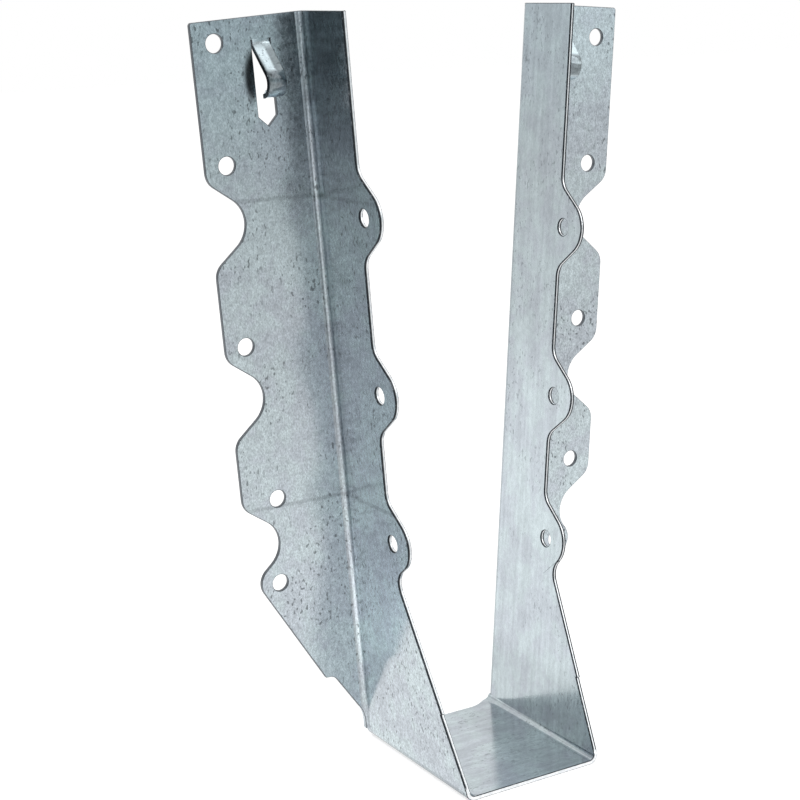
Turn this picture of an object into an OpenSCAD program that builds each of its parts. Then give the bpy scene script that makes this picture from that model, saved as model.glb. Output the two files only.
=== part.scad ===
// Face-mount joist hanger, folded from one sheet of galvanised steel.
// +Z is up, the joist comes in from -Y, and both flanges lie on the header plane at y = seat_d / 2.
// The origin is the middle of the seat's underside. Lengths are millimetres.

/* [Sheet] */
// Thickness of the steel
sheet_t = 1.2; // [0.8:0.1:2]
// Inside radius of the folds between seat and side plates
seat_bend_r = 1.5; // [1:0.1:3]
// Inside radius of the folds between side plates and flanges
flange_bend_r = 1.5; // [1:0.1:3]

/* [Seat] */
// Clear width between the side plates at the seat
seat_w = 39.7; // [36:0.1:120]
// Depth of the seat's ends, from the header plane to the front edge
seat_d = 50.8; // [46:0.1:65]
// How far the seat's rear edge stops short of the header plane
seat_setback = 3.4; // [1.5:0.1:6]
// Width at each end over which the seat's rear edge runs back towards the side plate
seat_ear_w = 4.2; // [2:0.1:8]

/* [Side plates] */
// Height along a side plate, from the seat's underside to the top edge
leg_h = 198.4; // [190:0.1:260]
// Outward lean of each side plate
leg_splay = 4; // [0:0.1:6]
// Depth of the straight upper part, from the header plane to the front edge
side_d = 22.3; // [20:0.1:28]
// Angle from the vertical at which the lower front edge runs out to the seat
flare_angle = 28.3; // [24:0.1:34]
// Height of the small step in the front edge
step_h = 21; // [12:0.1:30]
// Size of that step
step_d = 0.5; // [0:0.1:1]

/* [Face flanges] */
// Width of a flange, from the side plate's inner face to its straight outer edge
flange_w = 31.5; // [29.5:0.1:40]
// Rounding of the top corners
corner_r = 0.8; // [0:0.1:3]
// Width of the folded lip that runs down the tail, below the relief
tail_lip = 1.8; // [1.5:0.1:2.4]

/* [Scalloped edge] */
// Heights of the three lobes on the left side plate, from the top down
lobe_h = [148.5, 103.1, 63.3]; // [40:0.1:180]
// How much lower everything staggered sits on the right side
stagger = 7.9; // [0:0.1:9]
// Half the height of a lobe where it leaves the straight edge
lobe_half = 11; // [10:0.1:12]
// How far a lobe's flanks would reach if they met in a point
lobe_reach = 14.1; // [12:0.1:15]
// Radius of a lobe's nose
lobe_r = 7.4; // [5:0.1:8.5]
// Radius where a lobe leaves the straight edge
lobe_root_r = 4.8; // [1:0.1:6]

/* [Nail holes] */
// Diameter of every nail hole
nail_d = 4.6; // [3:0.1:5.5]
// Depth of the joist nail holes, from the header plane
joist_nail_d = 24.1; // [22:0.1:26]
// How far a flange's top nail hole sits below the top edge, left and right
top_nail_drop = [5.5, 8.2]; // [4:0.1:10]
// How far the left flange's next nail holes sit above the lobes, from the top down
left_nail_rise = [14.6, 13.8, 11.7]; // [11:0.1:18]
// How far the right flange's next nail holes sit above the lobes, from the top down
right_nail_rise = [15, 16.5, 15.1]; // [11:0.1:18]
// Distances of those four nail holes from the side plate's inner face, on the left
left_nail_x = [25.4, 25.5, 25.7, 21.3]; // [20:0.1:27]
// Distances of those four nail holes from the side plate's inner face, on the right
right_nail_x = [25.2, 24.8, 24.6, 24.7]; // [20:0.1:27]
// How far the tail's nail holes sit below the lowest lobes, left and right
tail_nail_fall = [11.4, 8.5]; // [8.5:0.1:13]
// Distances of the tail's nail holes from the side plate's inner face, left and right
tail_nail_x = [23.1, 20.8]; // [15:0.1:25]

/* [Prongs] */
// How far the fold that a prong hangs from sits below the top edge
prong_drop = 5.7; // [4:0.1:12]
// Distance of a prong's middle from the side plate's inner face
prong_x = 12.8; // [10:0.1:16]
// Width of a prong
prong_w = 5; // [3:0.1:6]
// Clearance between a prong's blank and its slot, on each side
prong_gap = 0.1; // [0.05:0.05:0.4]
// Length of the slot, from the fold to the end of its straight sides
slot_l = 18.9; // [17:0.1:20]
// Length of the pointed end, of the slot and of the prong
point_l = 2.5; // [1.5:0.1:4]
// Angle at which a prong leans out of the flange
prong_lean = 42.6; // [20:0.1:45]
// Radius of a prong's fold, to the middle of the sheet
prong_fold_r = 3; // [1.5:0.1:4]
// Length of a prong's straight stretch
prong_reach = 8; // [4:0.1:9]
// Radius of a prong's curl, to the middle of the sheet
prong_curl_r = 3.4; // [2:0.1:4]
// Angle that a prong's curl turns through, its point included
prong_curl = 174; // [120:1:176]

/* [Hidden] */
$fn = 96;

// Room that a cut takes beyond the sheet it goes through
over = 1;
// Largest turn between two points of a rounded corner
arc_step = 6;

header_y = seat_d / 2;
front_y = -seat_d / 2;
// Where a side plate's fold ends, measured up the plate from the seat's underside
leg_base = (sheet_t + seat_bend_r * (1 - sin(leg_splay))) / cos(leg_splay);
// Distance from the header plane to the rear edge of the folds at the seat's ends
ear_gap = 1;
// Least distance, along X, between a tail's nail hole and the tail's sloping edge
tail_nail_room = 5;
flare = tan(flare_angle);
bend_out = sheet_t + flange_bend_r;
// Outer edge of a flange and front edge of a side plate are one cut, so their distances add up to this
cut_pitch = flange_w + side_d;

// Corners of the relief under a flange, as [distance from the inner face, height, radius]:
// where its cut turns down, and where it runs into the tail
relief_shoulder = [9.9, step_h - 0.2, 3];
relief_root = [tail_lip, 7.5, 8];

// Middle of a prong's curl, as [y, z] about the middle of the sheet at the top of the slot
curl_y = (prong_fold_r + prong_curl_r) * cos(prong_lean) - prong_fold_r - prong_reach * sin(prong_lean);
curl_z = -(prong_fold_r + prong_curl_r) * sin(prong_lean) - prong_reach * cos(prong_lean);

function unit(v) = v / norm(v);

// Points of the arc that rounds corner p, between its neighbours a and b, with radius p[2]
function corner(a, p, b) =
    let (
        c = [p[0], p[1]],
        u = unit([a[0], a[1]] - c),
        v = unit([b[0], b[1]] - c),
        half = acos(u * v) / 2,
        m = c + unit(u + v) * p[2] / sin(half),
        from = c + u * p[2] / tan(half) - m,
        to = c + v * p[2] / tan(half) - m,
        start = atan2(from[1], from[0]),
        turn = (atan2(to[1], to[0]) - start + 540) % 360 - 180,
        n = ceil(abs(turn) / arc_step)
    )
    p[2] == 0 ? [c] : [for (i = [0:n]) m + p[2] * [cos(start + turn * i / n), sin(start + turn * i / n)]];

// A closed outline of [x, y, radius] corners, with each corner rounded
function rounded(pts) =
    let (n = len(pts))
    [for (i = [0:n - 1]) each corner(pts[(i + n - 1) % n], pts[i], pts[(i + 1) % n])];

// Distance from the header plane to the flared lower front edge, at height h up the side plate
function flare_d(h, step = step_d) = seat_d + step - flare * (h - leg_base);

// Height at which the lower flank of the lobe at height h meets the flared edge
function flank_end(h) =
    let (slope = lobe_reach / lobe_half)
    (flare_d(0) - side_d - lobe_reach + slope * h) / (slope + flare);

// Corners of the front edge from the top down to the step,
// as [distance from the header plane, height, radius]
function front_edge(lobes) =
    let (low = lobes[len(lobes) - 1], end = flank_end(low))
    [
        [side_d, leg_h, 0],
        for (h = lobes) each [
            [side_d, h + lobe_half, lobe_root_r],
            [side_d + lobe_reach, h, lobe_r],
            if (h > low) [side_d, h - lobe_half, lobe_root_r]
        ],
        [flare_d(end), end, lobe_root_r],
        [flare_d(step_h), step_h, 0]
    ];

// Side view of a side plate, as [y, height above the end of the seat fold]
function side_outline(lobes) = [
    [header_y, leg_h, 0],
    for (p = front_edge(lobes)) [header_y - p[0], p[1], p[2]],
    [header_y - flare_d(step_h, 0), step_h, 0],
    [header_y - seat_d, leg_base, 0],
    [header_y + over, leg_base, 0],
    [header_y + over, leg_h, 0]
];

// Front view of a side plate and its flange, as [distance from the inner face, height]
function face_outline(lobes) = [
    [-over, leg_h, 0],
    for (p = front_edge(lobes)) [cut_pitch - p[0], p[1], p[1] == leg_h ? corner_r : p[2]],
    relief_shoulder,
    relief_root,
    [tail_lip, 0, 0],
    [-over, 0, 0]
];

// Plan of what the seat's rear edge leaves out, on the right half
function seat_rear() =
    let (x = seat_w / 2 - seat_bend_r)
    [
        [-over, header_y - seat_setback, 0],
        [x - seat_ear_w, header_y - seat_setback, 8],
        [x, header_y - ear_gap + 0.2, 0],
        [x, header_y + over, 0],
        [-over, header_y + over, 0]
    ];

// Nail holes of one flange, as [distance from the inner face, height];
// hand is 0 on the left and 1 on the right
function flange_nails(lobes, hand) =
    let (
        x = [left_nail_x, right_nail_x][hand],
        rise = [left_nail_rise, right_nail_rise][hand],
        low = lobes[len(lobes) - 1] - tail_nail_fall[hand]
    )
    [
        [x[0], leg_h - top_nail_drop[hand]],
        for (i = [0:len(lobes) - 1]) [x[i + 1], lobes[i] + rise[i]],
        [min(tail_nail_x[hand], cut_pitch - flare_d(low) - tail_nail_room), low]
    ];

// Ring sector in the plane, from angle a0 to angle a1, which are under 180 degrees apart
module ring_sector(r_in, r_out, a0, a1) {
    intersection() {
        difference() {
            circle(r_out);
            circle(r_in);
        }
        rotate(a0)
            translate([-2 * r_out, 0])
                square([4 * r_out, 2 * r_out]);
        rotate(a1)
            translate([-2 * r_out, -2 * r_out])
                square([4 * r_out, 2 * r_out]);
    }
}

// Turns a plane outline so that its x runs along Y, its y along Z, and its thickness along X
module across_x(from, to) {
    translate([from, 0, 0])
        rotate([90, 0, 90])
            linear_extrude(to - from)
                children();
}

// Turns a plane outline so that its x runs along X, its y along Z, and its thickness along Y
module across_y(from, to) {
    translate([0, to, 0])
        rotate([90, 0, 0])
            linear_extrude(to - from)
                children();
}

// Plan of a side plate, its fold and its flange; the side plate's inner face is at x = 0
module angle_plan() {
    translate([0, front_y - over])
        square([sheet_t, seat_d + over - bend_out]);
    translate([bend_out, header_y - bend_out])
        ring_sector(flange_bend_r, bend_out, 90, 180);
    translate([bend_out, header_y - sheet_t])
        square([flange_w + over - bend_out, sheet_t]);
}

// Side plate, fold and flange before any hole is made
module folded_side(lobes) {
    intersection() {
        linear_extrude(leg_h)
            angle_plan();
        across_x(-over, flange_w + over)
            polygon(rounded(side_outline(lobes)));
        across_y(front_y - over, header_y + over)
            polygon(rounded(face_outline(lobes)));
    }
}

// Opening that a prong is punched from, in front view about the fold's middle
module slot_plan() {
    w = prong_w / 2 + prong_gap;
    polygon([[-w, 0], [-w, -slot_l], [0, -slot_l - point_l], [w, -slot_l], [w, 0]]);
}

// Side view of a prong, as [y, z] about the middle of the sheet at the top of the slot.
// It runs down from its root: a fold out of the flange, a straight stretch, and a curl back.
module prong_profile() {
    half = sheet_t / 2;
    translate([-half, 0])
        square([sheet_t, sheet_t]);
    translate([-prong_fold_r, 0]) {
        ring_sector(prong_fold_r - half, prong_fold_r + half, -prong_lean, 0);
        rotate(-prong_lean)
            translate([prong_fold_r - half, -prong_reach])
                square([sheet_t, prong_reach]);
        rotate(-prong_lean)
            translate([prong_fold_r + prong_curl_r, -prong_reach])
                ring_sector(prong_curl_r - half, prong_curl_r + half, 180, 180 + prong_curl);
    }
}

// What the point at a prong's end leaves out beside it, in plan, on the side that s gives
module beside_point(s) {
    turned = prong_curl - prong_lean;
    from = curl_y - prong_curl_r * cos(turned - point_l / prong_curl_r * 180 / PI);
    to = curl_y - (prong_curl_r + sheet_t / 2) * cos(turned);
    edge = s * prong_w / 2;
    out = s * (prong_w / 2 + over);
    polygon([[edge, from], [0, to], [0, to + over], [out, to + over], [out, from]]);
}

// Prong that leans out of the flange and curls back to a point, about the fold's middle
module prong() {
    difference() {
        across_x(-prong_w / 2, prong_w / 2)
            prong_profile();
        for (s = [-1, 1])
            translate([0, 0, curl_z - 2 * prong_curl_r])
                linear_extrude(2 * prong_curl_r)
                    beside_point(s);
    }
}

// One side plate with its flange, its holes and its prong, standing on the right
module side(lobes, nails) {
    difference() {
        folded_side(lobes);
        for (h = lobes)
            translate([-over, header_y - joist_nail_d, h])
                rotate([0, 90, 0])
                    cylinder(d = nail_d, h = sheet_t + 2 * over);
        for (n = nails)
            translate([n[0], header_y + over, n[1]])
                rotate([90, 0, 0])
                    cylinder(d = nail_d, h = sheet_t + 2 * over);
        translate([prong_x, 0, leg_h - prong_drop])
            across_y(header_y - sheet_t - over, header_y + over)
                slot_plan();
    }
    translate([prong_x, header_y - sheet_t / 2, leg_h - prong_drop])
        prong();
}

// Half of the seat with its fold, in front view; the side plate's inner face is at x = 0
// and the fold ends at y = 0
module seat_profile() {
    translate([-seat_bend_r, 0]) {
        ring_sector(seat_bend_r, seat_bend_r + sheet_t, leg_splay - 90, 0);
        rotate(leg_splay - 90)
            translate([seat_bend_r, -seat_w / 2])
                square([sheet_t, seat_w / 2]);
    }
}

// Right half of the hanger, with the seat cut at the middle
module half(lobes, hand) {
    difference() {
        translate([seat_w / 2 - seat_bend_r, 0, sheet_t + seat_bend_r])
            rotate([0, leg_splay, 0])
                translate([seat_bend_r, 0, 0]) {
                    across_y(front_y, header_y - ear_gap)
                        seat_profile();
                    translate([0, 0, -leg_base])
                        side(lobes, flange_nails(lobes, hand));
                }
        translate([0, 0, -over])
            linear_extrude(sheet_t + 2 * over)
                polygon(rounded(seat_rear()));
        translate([-seat_w, front_y - over, -over])
            cube([seat_w, seat_d + 2 * over, sheet_t + 3 * over]);
    }
}

module hanger() {
    color("lightsteelblue") {
        half([for (h = lobe_h) h - stagger], 1);
        mirror([1, 0, 0])
            half(lobe_h, 0);
    }
}

hanger();
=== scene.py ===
"""A galvanised joist hanger on a pale studio floor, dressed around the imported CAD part."""
import math

import bmesh
import bpy
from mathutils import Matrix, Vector


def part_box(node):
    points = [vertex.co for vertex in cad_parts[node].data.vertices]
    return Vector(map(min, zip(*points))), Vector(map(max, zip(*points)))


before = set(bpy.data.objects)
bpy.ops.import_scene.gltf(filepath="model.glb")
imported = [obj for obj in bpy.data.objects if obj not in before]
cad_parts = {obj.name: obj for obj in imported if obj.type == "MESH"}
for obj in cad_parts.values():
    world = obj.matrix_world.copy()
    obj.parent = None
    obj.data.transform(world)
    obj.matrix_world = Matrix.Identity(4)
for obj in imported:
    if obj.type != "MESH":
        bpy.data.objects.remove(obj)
bpy.context.view_layer.update()

MM = 0.001

# The part is one folded sheet: two leaning legs with face flanges, and a seat between them.
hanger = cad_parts["hanger"]
LOW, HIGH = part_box("hanger")

SHEET = 1.2 * MM
SPLAY = math.radians(4)
# Where a leg's outer face would reach the floor.
OUTER_FOOT = 20.85 * MM
# The seat and its bends lie below this height.
SEAT_TOP = 4 * MM
# Only the flanges and what was punched from them lie farther from the middle than this.
LEG_REACH = 38 * MM

# The hanger's material slots after the zinc's: the rounded rims and the sheared faces.
RIM, STEEL = 1, 2


# ---------------------------------------------------------------- rounded cut edges

EDGE_RADIUS = 0.18 * MM
# Faces that meet at more than this angle, in radians, meet at a cut edge.
SHARP_TURN = 0.6
# Faces that meet at less than this angle lie in one plane.
FLAT_TURN = 0.004
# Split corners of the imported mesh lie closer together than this.
SAME_PLACE = 2e-6

# The corner of an ear: how far out it lies, how far back at least and how high at most.
EAR_OUT = (18.5 * MM, 22.5 * MM)
EAR_BACK = 22.3 * MM
EAR_TOP = 3.6 * MM


def edge_key(corners, ends):
    """The places of an edge's two ends, the same for every copy of a split corner."""
    fine = 5e-6
    return frozenset(tuple(round(c / fine) for c in corners[end].co) for end in ends)


def ear_corner(place):
    """Where an ear's end face runs into the side plate, which stays as it was cut."""
    near, far = EAR_OUT
    return near < abs(place.x) < far and place.y > EAR_BACK and place.z < EAR_TOP


def cut_edges(mesh):
    """The keys of the sheet's cut edges, but for the ears' corners."""
    whole = bmesh.new()
    whole.from_mesh(mesh)
    bmesh.ops.remove_doubles(whole, verts=whole.verts, dist=SAME_PLACE)
    whole.verts.ensure_lookup_table()
    keys = set()
    for edge in whole.edges:
        first, last = edge.verts
        middle = (first.co + last.co) / 2
        if edge.calc_face_angle(0) > SHARP_TURN and not ear_corner(middle):
            keys.add(edge_key(whole.verts, (first.index, last.index)))
    whole.free()
    return keys


def rounded_edges(piece, radius):
    """Takes the sharpness off the sheet's cut edges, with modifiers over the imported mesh."""
    mesh = piece.data
    cut = cut_edges(mesh)
    weights = mesh.attributes.new("bevel_weight_edge", "FLOAT", "EDGE")
    marks = [float(edge_key(mesh.vertices, e.vertices) in cut) for e in mesh.edges]
    weights.data.foreach_set("value", marks)

    weld = piece.modifiers.new("weld", "WELD")
    weld.merge_threshold = SAME_PLACE
    flat = piece.modifiers.new("flat", "DECIMATE")
    flat.decimate_type = "DISSOLVE"
    flat.angle_limit = FLAT_TURN
    rounded = piece.modifiers.new("rounded", "BEVEL")
    rounded.limit_method = "WEIGHT"
    rounded.width = radius
    rounded.segments = 2
    rounded.use_clamp_overlap = False
    rounded.miter_outer = "MITER_SHARP"
    rounded.harden_normals = True
    rounded.material = RIM
    threes = piece.modifiers.new("triangles", "TRIANGULATE")
    threes.ngon_method = "CLIP"
    threes.quad_method = "SHORTEST_DIAGONAL"


# ---------------------------------------------------------------- which faces were sheared

# The legs' and the seat's cut edges lie in front of this, and the flanges' behind the other.
LEG_EDGES_END = 22 * MM
FLANGE_EDGES_START = 24 * MM
# The upright bend's width, outward from the leg's outer face.
BEND_WIDTH = 2.5 * MM
# How much of a sheared face's normal may lie along its leg's or flange's own normal, and how
# much of it at least points to the front at the seat.
OFF_LEG, OFF_FLANGE, SEAT_FRONT = 0.5, 0.3, 0.7


def sheared_on_leg(place, normal):
    """Whether a face is the bare steel of a leg's or the seat's cut edge."""
    if place.z > SEAT_TOP:
        across = abs(normal.x) < OFF_LEG
    else:
        across = abs(normal.y) > SEAT_FRONT
    return across and abs(place.x) < LEG_REACH and place.y < LEG_EDGES_END


def sheared_on_flange(place, normal):
    """Whether a face is a flange's cut edge, past the bend."""
    bend_end = OUTER_FOOT + place.z * math.tan(SPLAY) + BEND_WIDTH
    across = abs(normal.y) < OFF_FLANGE
    return across and abs(place.x) > bend_end and place.y > FLANGE_EDGES_START


def cut_faces(piece):
    """Gives the sheared faces their own materials: the bare steel's on the legs, the rim's
    painted dark line on the flanges.
    """
    for face in piece.data.polygons:
        if sheared_on_leg(face.center, face.normal):
            face.material_index = STEEL
        if sheared_on_flange(face.center, face.normal):
            face.material_index = RIM


# ---------------------------------------------------------------- node helpers

# Nearly all of a noise's values lie between these.
NOISE_SPAN = (0.3, 0.7)


class Graph:
    """Short ways to build the node tree of a material or a world."""

    def __init__(self, holder):
        self.holder = holder
        holder.use_nodes = True
        self.tree = holder.node_tree
        self.tree.nodes.clear()

    def node(self, kind, **settings):
        made = self.tree.nodes.new(kind)
        for key, value in settings.items():
            setattr(made, key, value)
        return made

    def put(self, socket, value):
        """Links an output to the socket, or writes a plain value into it."""
        if isinstance(value, bpy.types.NodeSocket):
            self.tree.links.new(value, socket)
        elif value is not None:
            socket.default_value = value

    def filled(self, kind, *values, **settings):
        """A new node with its first inputs filled in order."""
        made = self.node(kind, **settings)
        for socket, value in zip(made.inputs, values):
            self.put(socket, value)
        return made

    def math(self, operation, a, b=None):
        return self.filled("ShaderNodeMath", a, b, operation=operation).outputs[0]

    def times(self, first, *others):
        """The product of all the numbers."""
        for other in others:
            first = self.math("MULTIPLY", first, other)
        return first

    def ramp(self, value, low, high, to_low=0.0, to_high=1.0, smooth=True):
        """Maps value from low..high onto to_low..to_high, held at both ends."""
        kind = "SMOOTHSTEP" if smooth else "LINEAR"
        made = self.filled("ShaderNodeMapRange", value, low, high, to_low, to_high,
                           interpolation_type=kind)
        return made.outputs[0]

    def swing(self, field, low, high):
        """Spreads a noise over low..high."""
        return self.ramp(field, *NOISE_SPAN, low, high)

    def lerp(self, factor, a, b):
        """Mixes two numbers, and leaves the node's second input, which is for vectors."""
        return self.filled("ShaderNodeMix", factor, None, a, b, data_type="FLOAT").outputs[0]

    def mix(self, factor, a, b, blend="MIX"):
        """Mixes two colours, through the node's colour sockets."""
        first, second, result = 6, 7, 2
        made = self.node("ShaderNodeMix", data_type="RGBA", blend_type=blend)
        made.clamp_factor = True
        self.put(made.inputs["Factor"], factor)
        self.put(made.inputs[first], a)
        self.put(made.inputs[second], b)
        return made.outputs[result]

    def scaled(self, point, scale):
        made = self.node("ShaderNodeMapping")
        self.put(made.inputs["Vector"], point)
        made.inputs["Scale"].default_value = scale
        return made.outputs[0]

    def split(self, vector):
        """A vector's three numbers."""
        return self.filled("ShaderNodeSeparateXYZ", vector).outputs

    def away(self, point, middle):
        """How far the point lies from the middle."""
        made = self.filled("ShaderNodeVectorMath", point, middle, operation="DISTANCE")
        return made.outputs["Value"]

    def noise(self, point, scale, detail=2.0, rough=0.6):
        made = self.node("ShaderNodeTexNoise")
        self.put(made.inputs["Vector"], point)
        made.inputs["Scale"].default_value = scale
        made.inputs["Detail"].default_value = detail
        made.inputs["Roughness"].default_value = rough
        return made.outputs["Fac"]

    def grey(self, value):
        """One number as a colour."""
        return self.filled("ShaderNodeCombineColor", value, value, value).outputs[0]

    def emission(self, strength):
        made = self.node("ShaderNodeEmission")
        self.put(made.inputs["Strength"], strength)
        return made

    def finish(self, shader, kind="ShaderNodeOutputMaterial"):
        """Sends the shader to the output and gives back the material or world."""
        self.put(self.node(kind).inputs["Surface"], shader.outputs[0])
        return self.holder

    def metal(self, colour, roughness, normal=None):
        """Finishes the material as bare metal."""
        shader = self.node("ShaderNodeBsdfPrincipled")
        shader.inputs["Metallic"].default_value = 1.0
        self.put(shader.inputs["Base Color"], colour)
        self.put(shader.inputs["Roughness"], roughness)
        self.put(shader.inputs["Normal"], normal)
        return self.finish(shader)


# ---------------------------------------------------------------- zinc-coated steel

# How many cells each noise has in a metre.
MOTTLE, FINE, STREAK, PATCH, CLOUD = 1000, 2600, 600, 170, 45
SPOTS, SPOT_PLACES = 1250, 70
# The cells along the strip, as a share of those across it: few, so the marks are long.
GRAIN_ALONG, STREAK_ALONG = 0.6, 0.04

# Where a mask starts and ends, by a part of the normal, by the turn of a bend or by the place.
LIES_FLAT = (0.6, 0.8)
FACES_INWARD = (0.4, 0.6)
FACES_FRONT = (0.97, 0.99)
FACES_DOWN = (-0.25, -0.6)
ROUND_BEND = (0.04, 0.12)
ROUND_MIDDLE = (0.40, 0.49)
ABOUT_MIDDLE = (-1 * MM, 1 * MM)
BEND_END = (24 * MM, 25 * MM)


class SheetGraph(Graph):
    """A graph for the sheet's looks, which go by the place on the part."""

    def __init__(self, name):
        super().__init__(bpy.data.materials.new(name))
        self.point = self.node("ShaderNodeTexCoord").outputs["Object"]
        self.x, self.y, self.z = self.split(self.point)
        self.outward = self.math("ABSOLUTE", self.x)

    def less_lean(self):
        """How far out a place lies, less the leg's lean."""
        return self.math("SUBTRACT", self.outward, self.times(self.z, math.tan(SPLAY)))


class ZincGraph(SheetGraph):
    """The zinc's graph, with the masks and noises that its parts share."""

    def __init__(self, name):
        super().__init__(name)
        self.by_leg = self.less_lean()
        self.normal = self.node("ShaderNodeNewGeometry").outputs["Normal"]
        across, ahead, self.up = self.split(self.normal)
        self.side = self.math("SIGN", self.x)
        # The faces inside the U kept the smooth, streaky side of the sheet.
        inward = self.times(across, self.side, -1.0)
        self.inside = self.ramp(self.math("MAXIMUM", inward, self.up), *FACES_INWARD)
        self.facing = self.ramp(self.math("ABSOLUTE", ahead), *FACES_FRONT)
        # How far round an upright bend a face is: 0 at both ends and 0.5 in the middle.
        self.turn = self.math("ABSOLUTE", self.math("MULTIPLY", across, ahead))
        self.bend = self.times(self.ramp(self.turn, *ROUND_BEND),
                               self.ramp(self.by_leg, *BEND_END, 1, 0))
        self.add_noises()

    def along_strip(self, share):
        """The place, scaled by share along the strip, which ran up the legs and over the seat."""
        lying = self.ramp(self.math("ABSOLUTE", self.up), *LIES_FLAT)
        return self.mix(lying, self.scaled(self.point, (1, 1, share)),
                        self.scaled(self.point, (share, 1, 1)))

    def add_noises(self):
        grain_way = self.along_strip(GRAIN_ALONG)
        self.mottle = self.noise(grain_way, MOTTLE, detail=3)
        self.fine = self.noise(grain_way, FINE)
        self.streak = self.noise(self.along_strip(STREAK_ALONG), STREAK, detail=3)
        self.patch = self.noise(self.point, PATCH, detail=3)
        self.cloud = self.noise(self.point, CLOUD, detail=3)
        self.spots = self.noise(grain_way, SPOTS, detail=1, rough=0.5)
        self.spot_places = self.noise(self.point, SPOT_PLACES, rough=0.5)


# Tones, as numbers round 1 that multiply the zinc's colour. Each function below gives one.
SMOOTH_MOTTLE, SMOOTH_STREAK = (0.94, 1.06), (0.92, 1.08)
COARSE_MOTTLE, COARSE_FINE = (0.86, 1.11), (0.84, 1.11)
FINE_DEPTH, PATCH_DEPTH, CLOUD_DEPTH = 0.05, 0.06, 0.06


def mottling(g):
    """Even marks all over: coarse mottles outside the U, and faint streaks inside it."""
    smooth = g.times(g.swing(g.mottle, *SMOOTH_MOTTLE), g.swing(g.streak, *SMOOTH_STREAK))
    coarse = g.times(g.swing(g.mottle, *COARSE_MOTTLE), g.swing(g.fine, *COARSE_FINE))
    tone = g.lerp(g.inside, coarse, smooth)
    fields = ((g.fine, FINE_DEPTH), (g.patch, PATCH_DEPTH), (g.cloud, CLOUD_DEPTH))
    for field, depth in fields:
        tone = g.times(tone, g.swing(field, 1 - depth, 1 + depth))
    return tone


SPECK_RIM, SPECK_GROUP = (0.635, 0.68), (0.40, 0.55)
SPECK_OUTSIDE, SPECK_INSIDE = 0.44, 0.70


def specks(g):
    """Small dark spots, in loose groups."""
    speck = g.times(g.ramp(g.spots, *SPECK_RIM), g.ramp(g.spot_places, *SPECK_GROUP))
    return g.lerp(speck, 1.0, g.lerp(g.inside, SPECK_OUTSIDE, SPECK_INSIDE))


PRESS_LINES = (71.3 * MM, 151.8 * MM)
PRESS_WIDTH = (0.2 * MM, 0.8 * MM)
PRESS_TONE = 0.78


def press_lines(g):
    """Faint lines across the left leg, which the folding tool left at two heights."""
    right_leg = g.ramp(g.x, *ABOUT_MIDDLE)
    tone = 1.0
    for height in PRESS_LINES:
        gap = g.math("ABSOLUTE", g.math("SUBTRACT", g.z, height))
        line = g.math("MAXIMUM", g.ramp(gap, *PRESS_WIDTH, PRESS_TONE, 1.0), right_leg)
        tone = g.times(tone, line)
    return tone


# A prong's side by the leg and its curl have painted shade, and the rest a painted highlight.
PRONG_SIDE = (31.8 * MM, 32.6 * MM)
PRONG_CURL = (17.8 * MM, 18.8 * MM)
PRONG_ROOT = (22.5 * MM, 23.8 * MM)
PRONG_HIGHLIGHT, PRONG_SHADE = 1.5, 0.55


def prong_highlight(g):
    """The prongs: a painted highlight, but for their sides by the leg and curled points, which
    have painted shade.
    """
    prong_shaded = g.math("MAXIMUM", g.ramp(g.by_leg, *PRONG_SIDE, 1, 0),
                  g.ramp(g.y, *PRONG_CURL, 1, 0))
    prong = g.times(g.ramp(g.y, *PRONG_ROOT, 1, 0),
                    g.ramp(g.outward, LEG_REACH, LEG_REACH + 1 * MM))
    return g.lerp(prong, 1.0, g.lerp(prong_shaded, PRONG_HIGHLIGHT, PRONG_SHADE))


# Painted shade on the bends' sides.
BEND_SIDE_SHADE = 0.82


def painted_bend_shade(g):
    """Painted shade on the sides of the upright bends, which leaves a lighter line in their
    middle.
    """
    return g.lerp(g.bend, 1.0, g.lerp(g.ramp(g.turn, *ROUND_MIDDLE), BEND_SIDE_SHADE, 1.0))


# Painted light low on the flanges, and painted shade at the top of the legs' outer faces.
FLANGE_FADE, FLANGE_LOW_LIGHT = (0.12, 0.17), 1.09
LEG_FADE, LEG_TOP_SHADE = (0.16, 0.19), 0.72


def painted_light_by_height(g):
    """Painted light and shade: the flanges a little brighter low down, and the legs' outer faces
    darker at the top.
    """
    flange = g.ramp(g.z, *FLANGE_FADE, FLANGE_LOW_LIGHT, 1.0)
    leg = g.ramp(g.z, *LEG_FADE, 1.0, g.lerp(g.inside, LEG_TOP_SHADE, 1.0))
    return g.lerp(g.facing, leg, flange)


# The painted shade's middle, across and up, and its width as a share of its height.
SLOT_SHADE_OUT, SLOT_SHADE_UP, SLOT_SHADE_SLIM = -48.9 * MM, 182.5 * MM, 0.28
SLOT_SHADE_RIM = (0.9 * MM, 2.3 * MM)
SLOT_SHADE_TONE = 0.12


def slot_shade(g):
    """Painted shade: a dark patch on the flange left of the left slot."""
    middle = (SLOT_SHADE_OUT, 0, SLOT_SHADE_UP * SLOT_SHADE_SLIM)
    away = g.away(g.scaled(g.point, (1, 0, SLOT_SHADE_SLIM)), middle)
    return g.ramp(away, *SLOT_SHADE_RIM, SLOT_SHADE_TONE, 1.0)


# Painted shade where the seat meets the right leg.
CORNER_SHADE_ACROSS, CORNER_SHADE_UP = (2 * MM, 8 * MM), (16 * MM, 24 * MM)
CORNER_SHADE_TONE = 0.88


def corner_shade(g):
    """Painted shade in the corner between the seat's right end and the foot of the leg above it.
    """
    corner = g.times(g.ramp(g.x, *CORNER_SHADE_ACROSS), g.ramp(g.z, *CORNER_SHADE_UP, 1, 0), g.inside)
    return g.ramp(corner, 0, 1, 1.0, CORNER_SHADE_TONE, smooth=False)


# Where the painted contact shadow lies, and how dark it is.
BELOW_OUT, BELOW_UP = (18 * MM, 19 * MM), (2 * MM, 3 * MM)
CONTACT_SHADOW_TONE = 0.35


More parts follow.
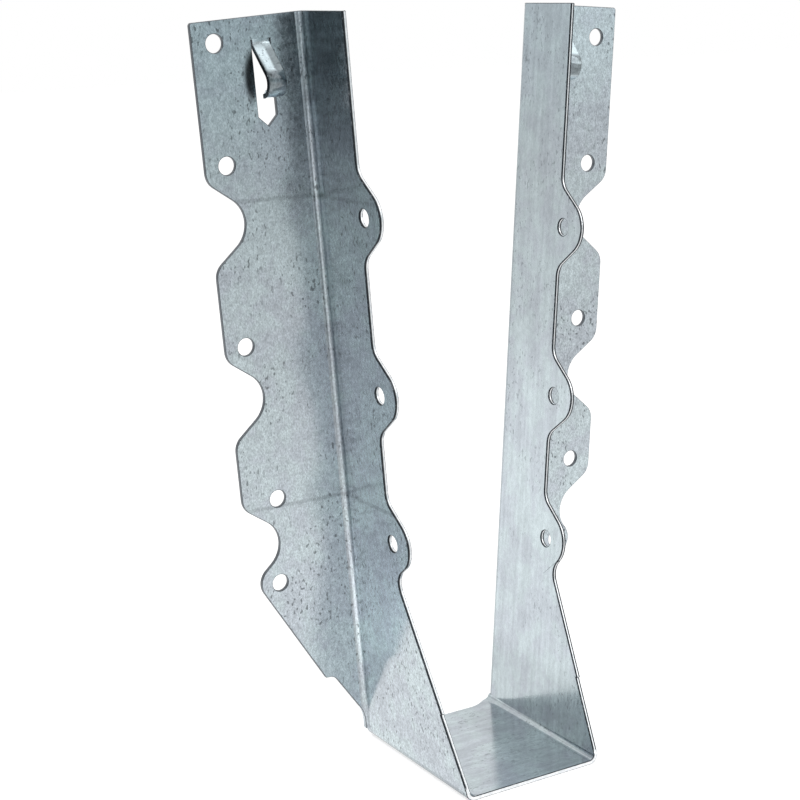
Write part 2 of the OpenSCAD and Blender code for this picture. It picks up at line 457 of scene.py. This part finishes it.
def contact_shadow(g):
    """Painted contact shadow: the seat's bends are dark outside, where they meet what the hanger
    stands on.
    """
    below = g.times(g.ramp(g.up, *FACES_DOWN), g.ramp(g.outward, *BELOW_OUT),
                    g.ramp(g.z, *BELOW_UP, 1, 0))
    return g.ramp(below, 0, 1, 1.0, CONTACT_SHADOW_TONE, smooth=False)


BLUE_ZINC, GREEN_ZINC = (0.524, 0.574, 0.619, 1), (0.512, 0.582, 0.605, 1)
TINT_SPAN = (0.43, 0.57)
# Painted reflection tint: the top of the hanger is bluer.
TOP_REFLECTION_TINT = (0.46, 0.585, 0.645, 1)
TOP_FADE, TOP_SHARE = (0.15, 0.20), 0.35


def zinc_colour(g):
    """The zinc's colour, with all the tones over it, painted light and shade among them."""
    parts = (mottling, specks, press_lines, prong_highlight, painted_bend_shade, painted_light_by_height, slot_shade,
             corner_shade, contact_shadow)
    tone = g.times(*(part(g) for part in parts))
    field = g.math("MULTIPLY", g.math("ADD", g.patch, g.cloud), 0.5)
    tint = g.mix(g.ramp(field, *TINT_SPAN), BLUE_ZINC, GREEN_ZINC)
    tint = g.mix(g.ramp(g.z, *TOP_FADE, 0, TOP_SHARE), tint, TOP_REFLECTION_TINT)
    return g.mix(1.0, tint, g.grey(tone), blend="MULTIPLY")


CLOUD_ROUGH, MOTTLE_ROUGH = (0.145, 0.175), (-0.02, 0.03)
FLANGE_ROUGH, BEND_ROUGH = 0.07, 0.15


def zinc_roughness(g):
    """Glossy zinc, rougher on the flanges and in the upright bends."""
    rough = g.swing(g.cloud, *CLOUD_ROUGH)
    more = (g.swing(g.mottle, *MOTTLE_ROUGH), g.times(g.facing, FLANGE_ROUGH),
            g.times(g.bend, BEND_ROUGH))
    for part in more:
        rough = g.math("ADD", rough, part)
    return rough


SPRING_BACK = math.radians(4.5)
SPRUNG_FROM = (0.04, 0.08)


def sprung(g):
    """The normal of a sheet that sprang back after folding, which turns what it mirrors.

    It did so on both flanges, and on the upper part of the left leg with them.
    """
    leg = g.times(g.ramp(g.x, *ABOUT_MIDDLE, 1, 0), g.ramp(g.z, *SPRUNG_FROM),
                  g.math("SUBTRACT", 1.0, g.inside))
    turned = g.node("ShaderNodeVectorRotate", rotation_type="Z_AXIS")
    g.put(turned.inputs["Vector"], g.normal)
    angle = g.times(g.side, g.math("MAXIMUM", g.facing, leg), SPRING_BACK)
    g.put(turned.inputs["Angle"], angle)
    return turned.outputs[0]


GRAIN_STRENGTH, GRAIN_DEPTH = 0.25, 0.03 * MM
MOTTLE_SHARE, FINE_SHARE = 0.6, 0.4


def grained(g, normal):
    """The normal with the zinc's fine grain over it."""
    height = g.math("ADD", g.times(g.mottle, MOTTLE_SHARE), g.times(g.fine, FINE_SHARE))
    bump = g.node("ShaderNodeBump")
    g.put(bump.inputs["Normal"], normal)
    g.put(bump.inputs["Strength"], GRAIN_STRENGTH)
    g.put(bump.inputs["Distance"], GRAIN_DEPTH)
    g.put(bump.inputs["Height"], height)
    return bump.outputs[0]


def galvanised(name):
    """Zinc-coated sheet: fine mottling, soft clouds, faint rolling streaks and dark specks, with
    painted highlights and shade.
    """
    g = ZincGraph(name)
    return g.metal(zinc_colour(g), zinc_roughness(g), grained(g, sprung(g)))


# ---------------------------------------------------------------- cut edges

# The rims are painted nearly black as a line of shade, with lighter flecks.
RIM_GRAIN, RIM_SPAN = 900, (0.50, 0.72)
RIM_SHADE, RIM_LIGHTER = (0.02, 0.025, 0.03, 1), (0.16, 0.175, 0.19, 1)
RIM_ROUGH = 0.35
# Where the flanges' edges start, and how much lighter they are painted.
FLANGE_RIM, FLANGE_RIM_LIGHTER = (19 * MM, 21 * MM), 0.8


def sheared(name):
    """The rounded rim of a cut edge, painted as a near-black line of shade with lighter flecks.

    The flanges' edges are painted lighter than the legs' and the seat's.
    """
    g = SheetGraph(name)
    lighter_flecks = g.ramp(g.noise(g.point, RIM_GRAIN), *RIM_SPAN)
    lighter_flecks = g.math("MAXIMUM", lighter_flecks, g.ramp(g.y, *FLANGE_RIM, 0.0, FLANGE_RIM_LIGHTER))
    return g.metal(g.mix(lighter_flecks, RIM_SHADE, RIM_LIGHTER), RIM_ROUGH)


DRAWN_GRAIN, DRAWN_SPAN = 1200, (0.35, 0.65)
# Clean steel, painted near white as a highlight, and the torn band, partly a real fracture band
# and partly painted shade.
STEEL_LOW, STEEL_HIGH = (0.78, 0.81, 0.83, 1), (0.95, 0.96, 0.97, 1)
STEEL_TORN_AND_SHADED = (0.04, 0.045, 0.05, 1)
STEEL_ROUGH = 0.4
# How deep the torn band, painted dark as shade, reaches into the legs' front edges, how softly
# that ends, and how much less deep it is on the right leg.
TEAR, TEAR_FADE, TEAR_LESS = 0.45 * MM, 0.135 * MM, 0.06 * MM
TEAR_FOOT = (3 * MM, 4 * MM)


def torn_and_shaded_zone(g):
    """Where the shear tore a leg's front edge, painted nearly black as shade: by its outer face,
    and right also by its inner.
    """
    right_leg = g.ramp(g.x, *ABOUT_MIDDLE)
    depth = g.math("SUBTRACT", OUTER_FOOT, g.less_lean())
    depth = g.math("ADD", depth, g.times(right_leg, TEAR_LESS))
    outer = g.ramp(depth, TEAR, TEAR + TEAR_FADE, 1, 0)
    inner = g.times(g.ramp(depth, SHEET - TEAR, SHEET - TEAR + TEAR_FADE), right_leg)
    return g.times(g.math("MAXIMUM", outer, inner), g.ramp(g.z, *TEAR_FOOT))


def bare_steel(name):
    """The sheared face between two rims: clean steel, painted near white as a highlight, drawn a
    little rough by the punch.
    """
    g = SheetGraph(name)
    drawn = g.ramp(g.noise(g.point, DRAWN_GRAIN), *DRAWN_SPAN)
    clean = g.mix(drawn, STEEL_LOW, STEEL_HIGH)
    return g.metal(g.mix(torn_and_shaded_zone(g), clean, STEEL_TORN_AND_SHADED), STEEL_ROUGH)


hanger.data.materials.clear()
hanger.data.materials.append(galvanised("galvanised_steel"))
hanger.data.materials.append(sheared("sheared_rim"))
hanger.data.materials.append(bare_steel("bare_steel"))
rounded_edges(hanger, EDGE_RADIUS)
cut_faces(hanger)


# ---------------------------------------------------------------- floor and background

FLOOR_HALF = 3.0
PAPER = (0.8, 0.8, 0.8, 1)
# What lifts the lit floor to white for the camera.
CAMERA_LIFT = 0.60
FLOOR_TONE = 0.82
# Each pool on the floor: its middle, where it starts and ends fading, and its depth.
POOLS = (
    ((-0.05, 0.35, 0), 0.25, 0.90, 0.38),
    ((-0.115, 0.00, 0), 0.02, 0.07, 1.10),
)


def quad(name, corners):
    """A new object of one face."""
    mesh = bpy.data.meshes.new(name)
    mesh.from_pydata(corners, [], [(0, 1, 2, 3)])
    made = bpy.data.objects.new(name, mesh)
    bpy.context.scene.collection.objects.link(made)
    return made


def lit_floor(g, seen):
    """Plain paper, lifted to white for the camera, which keeps the shadow on it."""
    clear = g.math("MAXIMUM", seen["Is Camera Ray"], seen["Is Transmission Ray"])
    paper = g.node("ShaderNodeBsdfDiffuse")
    paper.inputs["Color"].default_value = PAPER
    lift = g.emission(g.times(clear, CAMERA_LIFT))
    return g.filled("ShaderNodeAddShader", paper.outputs[0], lift.outputs[0])


def mirrored_floor(g):
    """The floor as reflections show it: with pools of light, which fade outward."""
    point = g.node("ShaderNodeTexCoord").outputs["Object"]
    tone = FLOOR_TONE
    for middle, near, far, depth in POOLS:
        tone = g.math("ADD", tone, g.ramp(g.away(point, middle), near, far, depth, 0))
    return g.emission(tone)


def floor():
    """A plain pale floor that reads white to the camera and still takes the shadow."""
    half = FLOOR_HALF
    made = quad("floor", [(-half, -half, 0), (half, -half, 0), (half, half, 0), (-half, half, 0)])
    g = Graph(bpy.data.materials.new("floor"))
    seen = g.node("ShaderNodeLightPath").outputs
    pick = g.filled("ShaderNodeMixShader", seen["Is Glossy Ray"], lit_floor(g, seen).outputs[0],
                    mirrored_floor(g).outputs[0])
    made.data.materials.append(g.finish(pick))


def surroundings(lit):
    """White to the camera and in reflections, and a soft even light on everything."""
    world = bpy.data.worlds.new("studio")
    bpy.context.scene.world = world
    g = Graph(world)
    seen = g.node("ShaderNodeLightPath").outputs
    light = g.node("ShaderNodeBackground")
    light.inputs["Strength"].default_value = lit
    white = g.node("ShaderNodeBackground")
    white.inputs["Color"].default_value = (1, 1, 1, 1)
    white.inputs["Strength"].default_value = 1.0
    clear = g.math("MAXIMUM", seen["Is Camera Ray"], seen["Is Glossy Ray"])
    clear = g.math("MAXIMUM", clear, seen["Is Transmission Ray"])
    pick = g.filled("ShaderNodeMixShader", clear, light.outputs[0], white.outputs[0])
    g.finish(pick, "ShaderNodeOutputWorld")


def lamp(name, place, aim, size, watts):
    """A soft square area lamp at place, aimed at aim."""
    data = bpy.data.lights.new(name, "AREA")
    data.shape = "SQUARE"
    data.size = size
    data.energy = watts
    made = bpy.data.objects.new(name, data)
    bpy.context.scene.collection.objects.link(made)
    made.location = place
    made.rotation_euler = (Vector(aim) - Vector(place)).to_track_quat("-Z", "Y").to_euler()


# A wall's sides fade to this tone, from this share of its half width on.
WALL_SIDE_TONE, WALL_SIDE_START = 0.9, 0.6


def wall_paint(name, middle, half_width, foot, shade, fade, tint):
    """A wall's own light, from foot at the floor to shade at the height fade."""
    g = Graph(bpy.data.materials.new(name))
    point = g.node("ShaderNodeTexCoord").outputs["Object"]
    upward = g.ramp(g.split(point)[2], 0, fade, foot, shade)
    aside = g.away(g.scaled(point, (1, 1, 0)), middle)
    sides = g.ramp(aside, half_width * WALL_SIDE_START, half_width)
    paint = g.emission(g.lerp(sides, upward, WALL_SIDE_TONE))
    paint.inputs["Color"].default_value = (*tint, 1)
    return g.finish(paint)


def studio_wall(name, bearing, distance, half_width, high, foot, shade, fade, tint):
    """An unlit wall of the studio, standing on the floor, which only reflections show.

    bearing is the way to it from the object, in degrees from -y towards -x. Its tone runs from
    foot at the floor to shade at the height fade, and to nearly white at both sides.
    """
    angle = math.radians(bearing)
    middle = Vector((-math.sin(angle), -math.cos(angle), 0)) * distance
    across = Vector((math.cos(angle), -math.sin(angle), 0)) * half_width
    corners = [middle - across, middle + across]
    corners += [c + Vector((0, 0, high)) for c in reversed(corners)]
    made = quad(name, corners)
    made.data.materials.append(wall_paint(name, middle, half_width, foot, shade, fade, tint))
    made.visible_camera = False
    made.visible_diffuse = False
    made.visible_shadow = False


floor()
surroundings(lit=0.75)
studio_wall("dark_end", bearing=34, distance=1.0, half_width=0.46, high=0.9,
            foot=0.10, shade=0.045, fade=0.12, tint=(0.78, 1.0, 1.12))
studio_wall("right_wall", bearing=-22, distance=1.3, half_width=0.50, high=0.6,
            foot=0.69, shade=0.54, fade=0.15, tint=(0.90, 1.0, 1.03))
studio_wall("back_wall", bearing=148.7, distance=1.3, half_width=0.60, high=0.5,
            foot=0.96, shade=0.78, fade=0.15, tint=(0.99, 1.0, 1.0))
MIDDLE = (LOW + HIGH) / 2
lamp("key", place=(-0.5, -0.9, 0.9), aim=MIDDLE, size=0.6, watts=6)
lamp("fill", place=(0.9, -0.6, 0.7), aim=MIDDLE, size=0.8, watts=3)


# ---------------------------------------------------------------- camera

SENSOR_MM, LENS_MM = 36, 78.79
CAMERA_PLACE = (-0.24664, -0.36840, 0.20552)
CAMERA_DEGREES = (76.398, 1.277, -31.594)


def camera():
    """From the front left and a little above, as a product picture is taken."""
    data = bpy.data.cameras.new("camera")
    data.sensor_width = SENSOR_MM
    data.lens = LENS_MM
    data.clip_start = 0.01
    made = bpy.data.objects.new("camera", data)
    bpy.context.scene.collection.objects.link(made)
    made.location = CAMERA_PLACE
    made.rotation_euler = [math.radians(a) for a in CAMERA_DEGREES]
    bpy.context.scene.camera = made


camera()
bpy.context.scene.view_settings.view_transform = "Standard"

bpy.context.view_layer.update()
